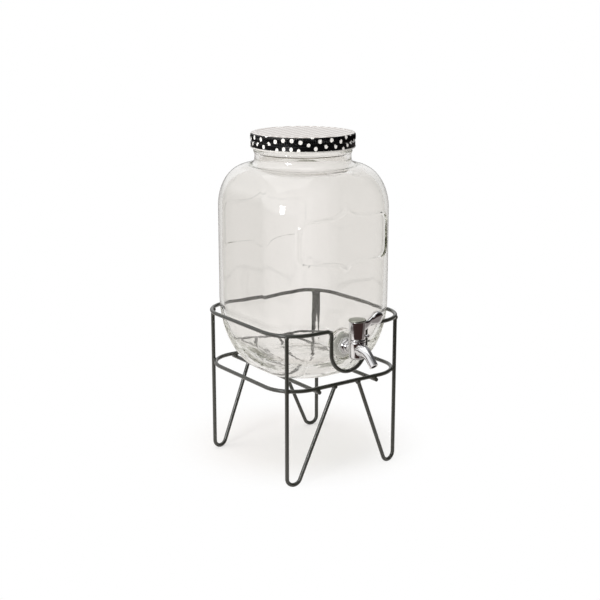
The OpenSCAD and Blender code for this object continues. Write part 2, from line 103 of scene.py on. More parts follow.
dusk = add(tree, "ShaderNodeMapRange", {
    "Value": right.outputs[0], "From Min": 0.3, "From Max": 0.8, "To Min": 1.0, "To Max": 0.25},
    interpolation_type="SMOOTHSTEP")
walls = add(tree, "ShaderNodeMath", {
    0: room.outputs["Result"], 1: dusk.outputs["Result"], 2: day.outputs["Result"]}, operation="MULTIPLY_ADD")
screen = add(tree, "ShaderNodeMapRange", {
    "Value": way.outputs["Y"], "From Min": 0.35, "From Max": 0.75, "To Max": screen_light},
    interpolation_type="SMOOTHSTEP")
all_round = add(tree, "ShaderNodeMath", {0: walls.outputs[0], 1: screen.outputs["Result"]}, operation="ADD")
above = add(tree, "ShaderNodeMapRange", {"Value": way.outputs["Z"], "From Min": -0.04, "From Max": 0.14},
            interpolation_type="SMOOTHSTEP")
mirrored = add(tree, "ShaderNodeMath", {0: all_round.outputs[0], 1: above.outputs["Result"]},
               operation="MULTIPLY")
fill = add(tree, "ShaderNodeMix", {0: ray.outputs["Is Glossy Ray"], 2: fill_light, 3: mirrored.outputs[0]})
seen = add(tree, "ShaderNodeMath", {0: ray.outputs["Is Camera Ray"], 1: ray.outputs["Is Transmission Ray"]},
           operation="MAXIMUM")
level = add(tree, "ShaderNodeMix", {0: seen.outputs[0], 2: fill.outputs[0], 3: 1.0})
backdrop = add(tree, "ShaderNodeBackground", {"Color": linear("#ffffff"), "Strength": level.outputs[0]})
add(tree, "ShaderNodeOutputWorld", {"Surface": backdrop.outputs[0]})

# White paper is matt, faintly warm and very finely grained. It keeps the shadow under the stand and runs out
# to plain white around it. In mirrors it shows a painted shade instead, a dim brown glow: a little in front of
# the stand, and more further in front of the object and far from it.
table_half, shadow_middle = 4, (0.02, 0.04, 0)
mesh = bpy.data.meshes.new("table_top")
mesh.from_pydata([(x * table_half, y * table_half, 0) for x, y in ((-1, -1), (1, -1), (1, 1), (-1, 1))], [],
                 [(0, 1, 2, 3)])
table = bpy.data.objects.new("table_top", mesh)
scene.collection.objects.link(table)
paper = bpy.data.materials.new("white_paper")
paper.use_nodes = True
mesh.materials.append(paper)
tree = paper.node_tree
tree.nodes.clear()
ray = add(tree, "ShaderNodeLightPath")
spot = add(tree, "ShaderNodeTexCoord").outputs["Object"]
away = add(tree, "ShaderNodeVectorMath", {0: spot, 1: shadow_middle}, operation="DISTANCE")
front = add(tree, "ShaderNodeSeparateXYZ", {0: spot})
flock_mm = 2.5  # drawn coarser than the paper's own fibres
grain = add(tree, "ShaderNodeTexNoise", {"Vector": spot, "Scale": 1 / (flock_mm * MM)})
tone = add(tree, "ShaderNodeMix", {0: grain.outputs[0], 6: linear("#f4efeb"), 7: linear("#f7f3f0")},
           data_type="RGBA")
lit = add(tree, "ShaderNodeBsdfDiffuse", {"Color": tone.outputs[2]})
seen = add(tree, "ShaderNodeMath", {0: ray.outputs["Is Camera Ray"], 1: ray.outputs["Is Transmission Ray"]},
           operation="MAXIMUM")
open_floor = add(tree, "ShaderNodeMapRange", {
    "Value": away.outputs["Value"], "From Min": 0.06, "From Max": 0.16, "To Min": 0.4},
    interpolation_type="SMOOTHSTEP")
blend = add(tree, "ShaderNodeMath", {0: seen.outputs[0], 1: open_floor.outputs["Result"]}, operation="MULTIPLY")
white = add(tree, "ShaderNodeEmission", {"Color": linear("#ffffff"), "Strength": 1.0})
outer = add(tree, "ShaderNodeMixShader", {0: blend.outputs[0], 1: lit.outputs[0], 2: white.outputs[0]})
ahead = add(tree, "ShaderNodeMath", {0: front.outputs["X"], 1: 0.44, 2: front.outputs["Y"]},
            operation="MULTIPLY_ADD")
gone = add(tree, "ShaderNodeMapRange", {"Value": ahead.outputs[0], "From Min": -0.3, "From Max": -0.45},
           interpolation_type="SMOOTHSTEP")
shade = add(tree, "ShaderNodeMapRange", {
    "Value": front.outputs["Y"], "From Min": -0.1, "From Max": -0.25, "To Max": 0.7},
    interpolation_type="SMOOTHSTEP")
nearby = add(tree, "ShaderNodeMath", {0: gone.outputs["Result"], 1: shade.outputs["Result"]}, operation="MAXIMUM")
beyond = add(tree, "ShaderNodeMapRange", {
    "Value": away.outputs["Value"], "From Min": 0.5, "From Max": 0.8, "To Max": 0.85},
    interpolation_type="SMOOTHSTEP")
dim = add(tree, "ShaderNodeMath", {0: nearby.outputs[0], 1: beyond.outputs["Result"]}, operation="MAXIMUM")
unseen = add(tree, "ShaderNodeMath", {0: ray.outputs["Is Glossy Ray"], 1: seen.outputs[0]},
             operation="SUBTRACT", use_clamp=True)
hidden = add(tree, "ShaderNodeMath", {0: unseen.outputs[0], 1: dim.outputs[0]}, operation="MULTIPLY")
# Painted shade: a dim brown glow that mirrors see in place of the lit paper.
dark = add(tree, "ShaderNodeEmission", {"Color": linear("#ffcac2"), "Strength": 0.05})
top = add(tree, "ShaderNodeMixShader", {0: hidden.outputs[0], 1: outer.outputs[0], 2: dark.outputs[0]})
add(tree, "ShaderNodeOutputMaterial", {"Surface": top.outputs[0]})

aim = Vector((0, 0, 200))
for name, place, size, watts in (("overhead", (-300, 200, 1700), (1700, 1700), 10.5),
                                 ("window", (-1350, 700, 700), (800, 1200), 4.5),
                                 ("front_lamp", (-1220, -445, 520), (300, 360), 6.5)):
    lamp = bpy.data.lights.new(name, "AREA")
    lamp.shape, lamp.energy = "RECTANGLE", watts
    lamp.size, lamp.size_y = size[0] * MM, size[1] * MM
    hung = bpy.data.objects.new(name, lamp)
    scene.collection.objects.link(hung)
    hung.location = Vector(place) * MM
    hung.rotation_euler = (aim - Vector(place)).to_track_quat("-Z", "Y").to_euler()
    hung.visible_camera = hung.visible_transmission = False
    hung.visible_glossy = name != "window"


# The stand is eight bent and straight steel wires, welded together and sprayed with dark grey lacquer.
# Each wire is a path through its corners, rounded to the bend's radius and swept with the wire's circle.
def finish_of(name):
    """A new material, its empty node tree, and the piece's own coordinates in millimetres."""
    made = bpy.data.materials.new(name)
    made.use_nodes = True
    made.node_tree.nodes.clear()
    coordinates = add(made.node_tree, "ShaderNodeTexCoord")
    scaled = add(made.node_tree, "ShaderNodeVectorMath", {0: coordinates.outputs["Object"], 1: (1 / MM,) * 3},
                 operation="MULTIPLY")
    return made, made.node_tree, scaled.outputs[0]


def node_tree(name, **inputs):
    """A geometry node tree with the named inputs, and its input node."""
    made = bpy.data.node_groups.new(name, "GeometryNodeTree")
    made.interface.new_socket("Geometry", in_out="INPUT", socket_type="NodeSocketGeometry")
    for key, kind in inputs.items():
        made.interface.new_socket(key, in_out="INPUT", socket_type="NodeSocket" + kind)
    made.interface.new_socket("Geometry", in_out="OUTPUT", socket_type="NodeSocketGeometry")
    return made, add(made, "NodeGroupInput").outputs


def end_tree(tree, given, shape):
    """Ends a tree: instances made real, shaded smooth, with the material that its input names."""
    real = add(tree, "GeometryNodeRealizeInstances", {"Geometry": shape})
    smooth = add(tree, "GeometryNodeSetShadeSmooth", {"Geometry": real.outputs[0], "Shade Smooth": True})
    dressed = add(tree, "GeometryNodeSetMaterial", {"Geometry": smooth.outputs[0], "Material": given["Material"]})
    add(tree, "NodeGroupOutput", {0: dressed.outputs[0]})


def grown(name, mesh, tree, **values):
    """The object that a node tree makes of a mesh, with the tree's inputs set to the values."""
    made = bpy.data.objects.new(name, mesh)
    scene.collection.objects.link(made)
    step = made.modifiers.new("grow", "NODES")
    step.node_group = tree
    for item in tree.interface.items_tree:
        if item.in_out == "INPUT" and item.name in values:
            step[item.identifier] = values[item.name]
    made.data = bpy.data.meshes.new_from_object(made.evaluated_get(bpy.context.evaluated_depsgraph_get()))
    made.modifiers.clear()
    return made


def fix(piece, body, slot, *nodes):
    """Lets a piece ride a body, in place of the CAD nodes. The slot is not used."""
    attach(piece, body)
    if nodes:
        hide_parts(*nodes)


# Lacquered steel has a satin film with a faint orange peel, drawn twice as coarse as it is. The eye sees a dark
# grey that leans to green, a little lighter in patches, and one soft line of light along each wire.
lacquer, tree, place = finish_of("lacquered_steel")
peel_mm, patch_mm = 1.25, 20
peel = add(tree, "ShaderNodeTexNoise", {"Vector": place, "Scale": 1 / peel_mm, "Detail": 2.0})
patch = add(tree, "ShaderNodeTexNoise", {"Vector": place, "Scale": 1 / patch_mm, "Detail": 3.0})
tone = add(tree, "ShaderNodeMix", {0: patch.outputs[0], 6: linear("#1d1e18"), 7: linear("#31322b")},
           data_type="RGBA")
sheen = add(tree, "ShaderNodeMapRange", {"Value": peel.outputs[0], "To Min": 0.25, "To Max": 0.36})
bump = add(tree, "ShaderNodeBump", {"Height": peel.outputs[0], "Strength": 0.25, "Distance": 0.05 * MM})
shader = add(tree, "ShaderNodeBsdfPrincipled", {
    "Base Color": tone.outputs[2], "Roughness": sheen.outputs["Result"], "Coat Weight": 0.6,
    "Coat Roughness": 0.12, "Normal": bump.outputs[0]})
add(tree, "ShaderNodeOutputMaterial", {"Surface": shader.outputs[0]})

bent_wire, given = node_tree("bent_wire", Diameter="Float", Sides="Int", Steps="Int", Material="Material")
path = add(bent_wire, "GeometryNodeMeshToCurve", {"Mesh": given["Geometry"]})
radius = add(bent_wire, "GeometryNodeInputNamedAttribute", {"Name": "bend"}, data_type="FLOAT")
thick = add(bent_wire, "GeometryNodeInputNamedAttribute", {"Name": "thick"}, data_type="FLOAT")
bends = add(bent_wire, "GeometryNodeFilletCurve", {
    "Curve": path.outputs[0], "Count": given["Steps"], "Radius": radius.outputs[0]}, mode="POLY")
half = add(bent_wire, "ShaderNodeMath", {0: given["Diameter"], 1: 0.5}, operation="MULTIPLY")
ring = add(bent_wire, "GeometryNodeCurvePrimitiveCircle", {
    "Resolution": given["Sides"], "Radius": half.outputs[0]})
tube = add(bent_wire, "GeometryNodeCurveToMesh", {
    "Curve": bends.outputs[0], "Profile Curve": ring.outputs[0], "Scale": thick.outputs[0], "Fill Caps": True})
whole = add(bent_wire, "GeometryNodeMergeByDistance", {"Geometry": tube.outputs[0], "Distance": 0.01 * MM})
end_tree(bent_wire, given, whole.outputs[0])


def wire(name, corners, diameter, material, closed=False, thickness=None, sides=20, steps=14):
    """A round wire through corners, each x, y, z and the radius of its bend in millimetres."""
    path = bpy.data.meshes.new(name)
    edges = [(i, i + 1) for i in range(len(corners) - 1)] + [(len(corners) - 1, 0)] * closed
    path.from_pydata([Vector(c[:3]) * MM for c in corners], edges, [])
    path.attributes.new("bend", "FLOAT", "POINT").data.foreach_set("value", [c[3] * MM for c in corners])
    path.attributes.new("thick", "FLOAT", "POINT").data.foreach_set("value", thickness or [1.0] * len(corners))
    return grown(name, path, bent_wire, Diameter=diameter * MM, Sides=sides, Steps=steps, Material=material)


low, high = (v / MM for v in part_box("stand_bottom_ring"))
wire_d = high.z - low.z
low_half, low_z = high.x - wire_d / 2, (low.z + high.z) / 2
low, high = (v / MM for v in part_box("stand_top_ring"))
ring_half, top_z, dip_low = high.x - wire_d / 2, high.z - wire_d / 2, low.z + wire_d / 2
low, high = (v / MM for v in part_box("crossbar_right"))
bar_x, bar_y, bar_z = (low.x + high.x) / 2, high.y, (low.z + high.z) / 2
leg_xy = -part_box("leg_front_left")[0].x / MM - wire_d / 2
ring_bend, low_bend, dip_half, dip_bend, foot_r, slant_x = 37.5, 35.3, 22.8, 6, 8, 15.5
film, overlap, spare = 0.15, 1, 0.02  # lacquer's thickness, a weld's depth, and room between two bends
coated_d = wire_d + 2 * film

around = [(1, 1), (-1, 1), (-1, -1), (1, -1)]
corners = [(x * ring_half, y * ring_half, top_z, ring_bend) for x, y in around]
dip = [(x * dip_half, -ring_half, z, r) for x, z, r in (
    (-1, top_z, dip_bend), (-1, dip_low, dip_half - spare), (1, dip_low, dip_half - spare), (1, top_z, dip_bend))]
fix(wire("upper_ring", corners[:3] + dip + corners[3:], coated_d, lacquer, True),
    "stand", "stand_wire", "stand_top_ring")
corners = [(x * low_half, y * low_half, low_z, low_bend) for x, y in around]
fix(wire("lower_ring", corners, coated_d, lacquer, True), "stand", "stand_wire", "stand_bottom_ring")

run = Vector((leg_xy - slant_x, leg_xy - low_half))
foot_z, end_z = foot_r + wire_d / 2, low_z - wire_d / 2 + overlap
end = Vector((run.length - foot_r, end_z - foot_z))
rise = math.atan2(end.y, end.x) + math.atan2(foot_r, math.sqrt(end.length_squared - foot_r ** 2))
tip_z = foot_z - foot_r * math.cos(rise) - foot_r * (1 + math.sin(rise)) * math.tan(rise)
for x, y, side in ((-1, -1, "front_left"), (1, -1, "front_right"), (-1, 1, "rear_left"), (1, 1, "rear_right")):
    leg = [(x * leg_xy, y * leg_xy, top_z - wire_d / 2 + overlap, 0), (x * leg_xy, y * leg_xy, tip_z, foot_r),
           (x * slant_x, y * low_half, end_z, 0)]
    fix(wire("hairpin_" + side, leg, coated_d, lacquer), "stand", "stand_wire", "leg_" + side)
for x, side in ((-1, "left"), (1, "right")):
    bar = [(x * bar_x, y * bar_y, bar_z, 0) for y in (-1, 1)]
    fix(wire("bar_" + side, bar, coated_d, lacquer), "stand", "stand_wire", "crossbar_" + side)

# The welds hold the wires together: a small lump of weld metal at each of sixteen joints, lacquered over.
# They are one rounded lump, set at each joint and turned and sized at random.
lump_r, lump_mm, lump_swell, under_weld, under_slant, full_turn = 2.3, 3.846, 1.2, 1.9, 2.2, 6.28
lumps, given = node_tree("weld_beads", Radius="Float", Seed="Int", Material="Material")
ball = add(lumps, "GeometryNodeMeshIcoSphere", {"Radius": given["Radius"], "Subdivisions": 4})
swell = add(lumps, "ShaderNodeTexNoise", {"Scale": 1 / (lump_mm * MM), "Detail": 1.0})
push = add(lumps, "ShaderNodeMath", {0: swell.outputs[0], 1: lump_swell * MM}, operation="MULTIPLY")
normal = add(lumps, "GeometryNodeInputNormal")
offset = add(lumps, "ShaderNodeVectorMath", {0: normal.outputs[0], "Scale": push.outputs[0]}, operation="SCALE")
lumpy = add(lumps, "GeometryNodeSetPosition", {"Geometry": ball.outputs[0], "Offset": offset.outputs[0]})
turn = add(lumps, "FunctionNodeRandomValue", {1: (full_turn,) * 3, 8: given["Seed"]}, data_type="FLOAT_VECTOR")
grow = add(lumps, "FunctionNodeRandomValue", {2: 0.88, 3: 1.08, 8: given["Seed"]}, data_type="FLOAT")
beads = add(lumps, "GeometryNodeInstanceOnPoints", {
    "Points": given["Geometry"], "Instance": lumpy.outputs[0], "Rotation": turn.outputs[0],
    "Scale": grow.outputs[1]})
end_tree(lumps, given, beads.outputs[0])

touch = ((low_half - low_bend) * math.sqrt(2) + low_bend + wire_d / 2) / math.sqrt(2)
joints = []
for x, y in around:
    joints += [(x * leg_xy, y * leg_xy, top_z - under_weld), (x * touch, y * touch, low_z),
               (x * slant_x, y * low_half, low_z - under_slant), (x * bar_x, y * low_half, low_z - under_weld)]
mesh = bpy.data.meshes.new("welds")
mesh.from_pydata([Vector(p) * MM for p in joints], [], [])
fix(grown("welds", mesh, lumps, Radius=lump_r * MM, Seed=7, Material=lacquer), "stand", "stand_wire")


# The jar is pressed clear glass: a rounded square body with a panel frame raised on its front and back, a
# round neck with a bead and a thread, and a boss for the tap. It is a loft of its outside and inside, with
# the boss and the thread joined on and the tap's hole and seat cut.
def solid(name, points, faces, material, crease=35):
    """A closed mesh object from points in millimetres, smooth but for edges sharper than the crease."""
    made = bpy.data.objects.new(name, bpy.data.meshes.new(name))
    scene.collection.objects.link(made)
    made.data.from_pydata([Vector(p) * MM for p in points], [], faces)
    made.data.materials.append(material)
    return tidy(made, crease)


def tidy(piece, crease):
    """Joins doubled points, faces everything outward and shades it smooth up to the crease."""
    work = bmesh.new()
    work.from_mesh(piece.data)
    bmesh.ops.remove_doubles(work, verts=work.verts, dist=0.002 * MM)
    bmesh.ops.recalc_face_normals(work, faces=work.faces)
    work.to_mesh(piece.data)
    work.free()
    piece.data.shade_smooth()
    piece.data.set_sharp_from_angle(angle=math.radians(crease))
    return piece


def skin(rings, closed=False):
    """Points and faces over rings of equally many points, closed into a loop or capped at both ends."""
    count, points = len(rings[0]), [p for ring in rings for p in ring]
    faces = []
    for k in range(len(rings) - (not closed)):
        a, b = k * count, (k + 1) % len(rings) * count
        faces += [(a + i, a + (i + 1) % count, b + (i + 1) % count, b + i) for i in range(count)]
    if not closed:
        faces += [tuple(reversed(range(count))), tuple(range(len(points) - count, len(points)))]
    return points, faces


def rounded(*corners, steps=5):
    """An outline through corners (across, along, rounding), with an arc at each rounded corner."""
    line = []
    for k, (x, y, r) in enumerate(corners):
        here = Vector((x, y))
        if not r:
            line.append(here)
            continue
        back = (Vector(corners[k - 1][:2]) - here).normalized()
        ahead = (Vector(corners[(k + 1) % len(corners)][:2]) - here).normalized()
        opening = back.angle(ahead)
        centre = here + (back + ahead).normalized() * r / math.sin(opening / 2)
        reach = r / math.tan(opening / 2)
        a, b, swing = here + back * reach - centre, here + ahead * reach - centre, math.pi - opening
        for i in range(steps + 1):
            bend = a * math.sin(swing * (1 - i / steps)) + b * math.sin(swing * i / steps)
            line.append(centre + bend / math.sin(swing))
    return line


def turned(name, outline, material, place=Matrix(), closed=False, sides=96, crease=35):
    """A turned piece: an outline of radius and height, run round the place's own z axis."""
    rings = [[place @ Vector((r * math.cos(t), r * math.sin(t), h))
              for t in (math.tau * i / sides for i in range(sides))] for r, h in outline]
    return solid(name, *skin(rings, closed), material, crease)


def join(piece, tool, operation="UNION", crease=35):
    """Adds a tool to a piece, or cuts it away, and uses the tool up."""
    step = piece.modifiers.new("join", "BOOLEAN")
    step.operation, step.object, step.solver = operation, tool, "MANIFOLD"
    piece.data = bpy.data.meshes.new_from_object(piece.evaluated_get(bpy.context.evaluated_depsgraph_get()))
    piece.modifiers.clear()
    bpy.data.objects.remove(tool)
    return tidy(piece, crease)


# Pressed glass is clear, with a faint warm grey tint. Its colour carries a painted shade that darkens it where it
# is seen at a slant, marking the edges and the raised frame, and is eased at the neck and the foot. Slow sags of
# the pressing bend what shows through the walls, and tight eddies break it up in the thick base. Shadows pass
# through it.
glass, tree, place = finish_of("pressed_glass")
sag_mm, eddy_mm = 22.2, (20, 20, 5.88)
eddy_low, eddy_high, foot_low, foot_high, neck_low, neck_high = 118.0, 150.0, 125.0, 185.0, 316.0, 328.0
sag = add(tree, "ShaderNodeTexNoise", {"Vector": place, "Scale": 1 / sag_mm, "Detail": 1.0})
flow = add(tree, "ShaderNodeMapping", {"Vector": place, "Scale": [1 / size for size in eddy_mm]})
eddy = add(tree, "ShaderNodeTexNoise", {
    "Vector": flow.outputs[0], "Scale": 1.0, "Detail": 2.0, "Distortion": 0.6})
height = add(tree, "ShaderNodeSeparateXYZ", {0: place}).outputs["Z"]
deep = add(tree, "ShaderNodeMapRange", {
    "Value": height, "From Min": eddy_high, "From Max": eddy_low, "To Max": 5.5})
uneven = add(tree, "ShaderNodeMath", {0: eddy.outputs[0], 1: deep.outputs["Result"], 2: sag.outputs[0]},
             operation="MULTIPLY_ADD")
bump = add(tree, "ShaderNodeBump", {"Height": uneven.outputs[0], "Strength": 0.12, "Distance": 0.6 * MM})
# Painted shade: the colour darkens towards a slanting view of the glass, less at the neck and the foot.
rim = add(tree, "ShaderNodeLayerWeight", {"Blend": 0.5})
neck_shade_eased = add(tree, "ShaderNodeMapRange", {
    "Value": height, "From Min": neck_low, "From Max": neck_high, "To Min": 1.0, "To Max": 0.3})
foot = add(tree, "ShaderNodeMapRange", {
    "Value": height, "From Min": foot_low, "From Max": foot_high, "To Min": 0.6})
where = add(tree, "ShaderNodeMath", {0: neck_shade_eased.outputs["Result"], 1: foot.outputs["Result"]}, operation="MULTIPLY")
slant_shade = add(tree, "ShaderNodeMath", {0: rim.outputs["Facing"], 1: where.outputs[0]}, operation="MULTIPLY")
tone = add(tree, "ShaderNodeMix", {0: slant_shade.outputs[0], 6: linear("#f9f7f5"), 7: linear("#d4d3ce")},
           data_type="RGBA")
body = add(tree, "ShaderNodeBsdfPrincipled", {
    "Base Color": tone.outputs[2], "Roughness": 0.0, "IOR": 1.52, "Transmission Weight": 1.0,
    "Normal": bump.outputs[0]})
clear = add(tree, "ShaderNodeBsdfTransparent", {"Color": linear("#eef1ec")})
ray = add(tree, "ShaderNodeLightPath")
mixed = add(tree, "ShaderNodeMixShader", {
    0: ray.outputs["Is Shadow Ray"], 1: body.outputs[0], 2: clear.outputs[0]})
tint = add(tree, "ShaderNodeVolumeAbsorption", {"Color": linear("#c6c8b8"), "Density": 2.5})
add(tree, "ShaderNodeOutputMaterial", {"Surface": mixed.outputs[0], "Volume": tint.outputs[0]})

low, high = (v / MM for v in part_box("jar"))
jar_half, jar_z, rim_z = high.x, low.z, high.z
corner_r, wall, base_r, base_t = 42, 4, 44, 9
side_z, shoulder_z, neck_z = jar_z + 80, jar_z + 180, jar_z + 226
neck_r, bore_r, shoulder_r = 52, 47.5, 60
side_c, quarter = jar_half - corner_r, math.pi / 2
panel_z, panel_half_w, panel_half_h, panel_round = 260.5, 58.2, 23.5, 11
cusp_h, cusp_run, relief_h, relief_w, back_relief, wave_h = 9.2, 7.5, 1.45, 1.35, 0.7, 0.07


def section(flats, arcs):
    """Columns of a rounded square: corner place, outward direction, and run along the nearest side."""
    columns = []
    for turn in range(4):
        part = [(Vector((1, 2 * i / flats - 1)), 0) for i in range(flats)]
        part += [(Vector((1, 1)), quarter * i / arcs) for i in range(arcs)]
        for place, angle in part:
            s = side_c * place.y + corner_r * angle if angle <= quarter / 2 else \
                -side_c - corner_r * (quarter - angle)
            turned_by = Matrix.Rotation(turn * quarter, 2)
            columns.append((turned_by @ place, turned_by @ Vector((math.cos(angle), math.sin(angle))), s))
    return columns


def frame_relief(s, z):
    """Height of the raised frame at a run along the side and a height: a panel with a cusp above and below."""
    cusp = cusp_h * math.exp(-abs(s) / cusp_run)
    up = z - panel_z
    up -= max(-1.0, min(1.0, up / panel_half_h)) * cusp
    x, y = abs(s) - panel_half_w + panel_round, abs(up) - panel_half_h + panel_round
    edge = math.hypot(max(x, 0), max(y, 0)) + min(max(x, y), 0) - panel_round
    return relief_h * math.exp(-(edge / relief_w) ** 2 / (1 + (cusp / cusp_run) ** 2))


def side_rows(inset, bottom_z, bottom_r, neck, lower, heights, upper):
    """Rows of corner centre, corner radius and height, from the base's edge to the neck."""
    body_r, top_r = corner_r - inset, shoulder_r - inset
    rows = [(side_c * math.sin(a), bottom_r + (body_r - bottom_r) * math.sin(a),
             bottom_z + (side_z - bottom_z) * (1 - math.cos(a))) for a in lower]
    rows += [(side_c, body_r, z) for z in heights]
    rows += [(side_c * math.cos(a), body_r + (top_r - body_r) * (1 - math.cos(a)),
              shoulder_z + (neck_z - shoulder_z - inset) * math.sin(a)) for a in upper]
    rows += [(0, top_r - (top_r - neck) * math.sin(a), neck_z - inset + (top_r - neck) * (1 - math.cos(a)))
             for a in (quarter * i / 6 for i in range(1, 7))]
    return rows


def lip(*angles):
    """Rows of the rounded rim, half as thick as the neck, from angles in degrees."""
    r = (neck_r - bore_r) / 2
    return [(0, bore_r + r + r * math.cos(a), rim_z - r + r * math.sin(a)) for a in map(math.radians, angles)]


# The rows lie close together where the frame is, and far apart on the plain sides.
steps = [quarter * i / 28 for i in range(29)]
push_up, push_up_r = 2.2, 39
outside = [(0, r, jar_z + push_up * max(0, 1 - (r / push_up_r) ** 2)) for r in (4, 12, 20, 27, 33, 37, 40, 42.5)]
outside += side_rows(0, jar_z, base_r, neck_r, steps,
                     [side_z + 4.1 * i for i in range(1, 9)] + [222 + 0.8 * i for i in range(79)],
                     [math.radians(1.2 * i) for i in range(1, 13)] +
                     [math.radians(14.4 + 4.2 * i) for i in range(1, 19)])
bead_z, bead_r, bead_sunk, bead_half = neck_z + 15.2, 3.2, 2.1, 2.42
outside += [(0, neck_r, z) for z in (341, 342.5, bead_z - bead_half)]
outside += [(0, neck_r - bead_sunk + math.sqrt(bead_r ** 2 - up ** 2), bead_z + up)
            for up in (0.38 * i for i in range(-6, 7))]
outside += [(0, neck_r, z) for z in (bead_z + bead_half, 351, 354, 357, 360)] + lip(0, 20, 40, 60, 80)
inside = lip(100, 120, 140, 160, 180) + [(0, bore_r, z) for z in (357, 350, 343)]
inside += reversed(side_rows(wall, jar_z + base_t, base_r - 2 * wall, bore_r, steps[::2],
                             [side_z + 4 * i for i in range(1, 25)], steps[1::2] + steps[-1:]))
floor_rise, floor_r = 0.8, 36
inside += [(0, r, jar_z + base_t + floor_rise * (1 - (r / floor_r) ** 2)) for r in (30, 22, 13, 4)]

columns, fewer = section(51, 45), section(17, 15)
points = []
for c, r, z in outside:
    for at, out, s in columns:
        raised = frame_relief(s, z) if 224 < z < 300 and abs(out.y) > abs(out.x) else 0
        points.append((*(c * at + (r + raised * (back_relief if out.y > 0 else 1)) * out), z))
start = len(points)
for c, r, z in inside:
    for at, out, s in fewer:
        wave = wave_h * c / side_c * math.sin(s / 9 + z / 31) * math.sin(z / 17)
        points.append((*(c * at + (r + wave) * out), z))
n, m = len(columns), len(fewer)
faces = []
for first, rows, count in ((0, len(outside), n), (start, len(inside), m)):
    for a in (first + k * count for k in range(rows - 1)):
        faces += [(a + i, a + (i + 1) % count, a + count + (i + 1) % count, a + count + i) for i in range(count)]
last = (len(outside) - 1) * n
faces += [(*(last + (3 * i + k) % n for k in range(4)), start + (i + 1) % m, start + i) for i in range(m)]
faces += [tuple(range(n)), tuple(range(len(points) - m, len(points)))]
jar = solid("glass_jar", points, faces, glass)

tap_z = jar_z + 41.4
boss_y, seat_y, shank_y = 77.3, 72.5, 56.1
boss_r, boss_root_r, seat_r, hole_r, clear_of = 17.1, 17.8, 14, 8, 5
core = 0.1  # an outline that ends at the axis stops a hair before it
along_tap = Matrix.Translation((0, 0, tap_z)) @ Matrix.Rotation(quarter, 4, "X")
outline = rounded((boss_root_r, seat_y - 4.8, 0), (boss_r, boss_y, 2.2), (core, boss_y, 0))
join(jar, turned("boss", outline, glass, along_tap))
lead, thread_down, fade = 5.08, 11.2, 16


def thread(name, radius, foot_z, angles, diameter, material):
    """A thread's round ridge, which climbs by the lead in each turn and fades out at both ends."""
    path = [(radius * math.cos(a), radius * math.sin(a), foot_z + lead * a / math.tau, 0) for a in angles]
    last = len(path) - 1
    ends = [min(1, 0.1 + i / fade, 0.1 + (last - i) / fade) for i in range(len(path))]
    return wire(name, path, diameter, material, thickness=ends, sides=12)


turns = 1.25
angles = [math.tau * turns * i / 150 for i in range(151)]
join(jar, thread("thread", neck_r + 0.9, rim_z - thread_down, angles, 2.4, glass))
for radius, far in ((seat_r, seat_y), (hole_r, boss_y + clear_of)):
    join(jar, turned("cutter", [(radius, shank_y - 1), (radius, far)], glass, along_tap), "DIFFERENCE")
fix(jar, "jar", "jar_glass", "jar")

# The washers seal the tap's hole from outside and inside: silicone rings with rounded edges, slipped over the
# shank and pressed against the glass by the flange and the nut.
# Silicone rubber is milky and dull, so it shows as a soft white ring with a little light in it.
silicone, tree, place = finish_of("silicone_rubber")
cloud_mm = 2.86
patch = add(tree, "ShaderNodeTexNoise", {"Vector": place, "Scale": 1 / cloud_mm, "Detail": 2.0})
tone = add(tree, "ShaderNodeMix", {0: patch.outputs[0], 6: linear("#f2f2ef"), 7: linear("#fafaf8")},
           data_type="RGBA")
shader = add(tree, "ShaderNodeBsdfPrincipled", {
    "Base Color": tone.outputs[2], "Roughness": 0.42, "IOR": 1.42, "Transmission Weight": 0.2})
add(tree, "ShaderNodeOutputMaterial", {"Surface": shader.outputs[0]})
washer_hole = 7.6
for node, name in (("tap_outer_washer", "outer_washer"), ("tap_inner_washer", "inner_washer")):
    low, high = (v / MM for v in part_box(node))
    outline = rounded((washer_hole, -high.y, 0.3), (high.x, -high.y, 0.6), (high.x, -low.y, 0.6),
                      (washer_hole, -low.y, 0.3))
    fix(turned(name, outline, silicone, along_tap, True), "jar", "washer", node)

# The tap's body is cast and chrome plated: a threaded shank through the glass, a stepped flange, a neck,
# an upright barrel and a spout that bends down and narrows. The turned and swept parts are joined, then bored.
# Chrome plating mirrors the room in clear dark and bright bands, bent a little by the casting underneath.
chrome, tree, place = finish_of("chrome_plating")
haze_mm, ripple_mm = 8.33, 3.33
haze = add(tree, "ShaderNodeTexNoise", {"Vector": place, "Scale": 1 / haze_mm, "Detail": 3.0})
polish = add(tree, "ShaderNodeMapRange", {"Value": haze.outputs[0], "To Min": 0.04, "To Max": 0.12})
tone = add(tree, "ShaderNodeMix", {0: haze.outputs[0], 6: linear("#d6d5d6"), 7: linear("#e4e4e6")},
           data_type="RGBA")
ripple = add(tree, "ShaderNodeTexNoise", {"Vector": place, "Scale": 1 / ripple_mm, "Detail": 1.0})
bump = add(tree, "ShaderNodeBump", {"Height": ripple.outputs[0], "Strength": 0.2, "Distance": 0.2 * MM})
shader = add(tree, "ShaderNodeBsdfPrincipled", {
    "Base Color": tone.outputs[2], "Metallic": 1.0, "Roughness": polish.outputs["Result"],
    "Normal": bump.outputs[0]})
add(tree, "ShaderNodeOutputMaterial", {"Surface": shader.outputs[0]})

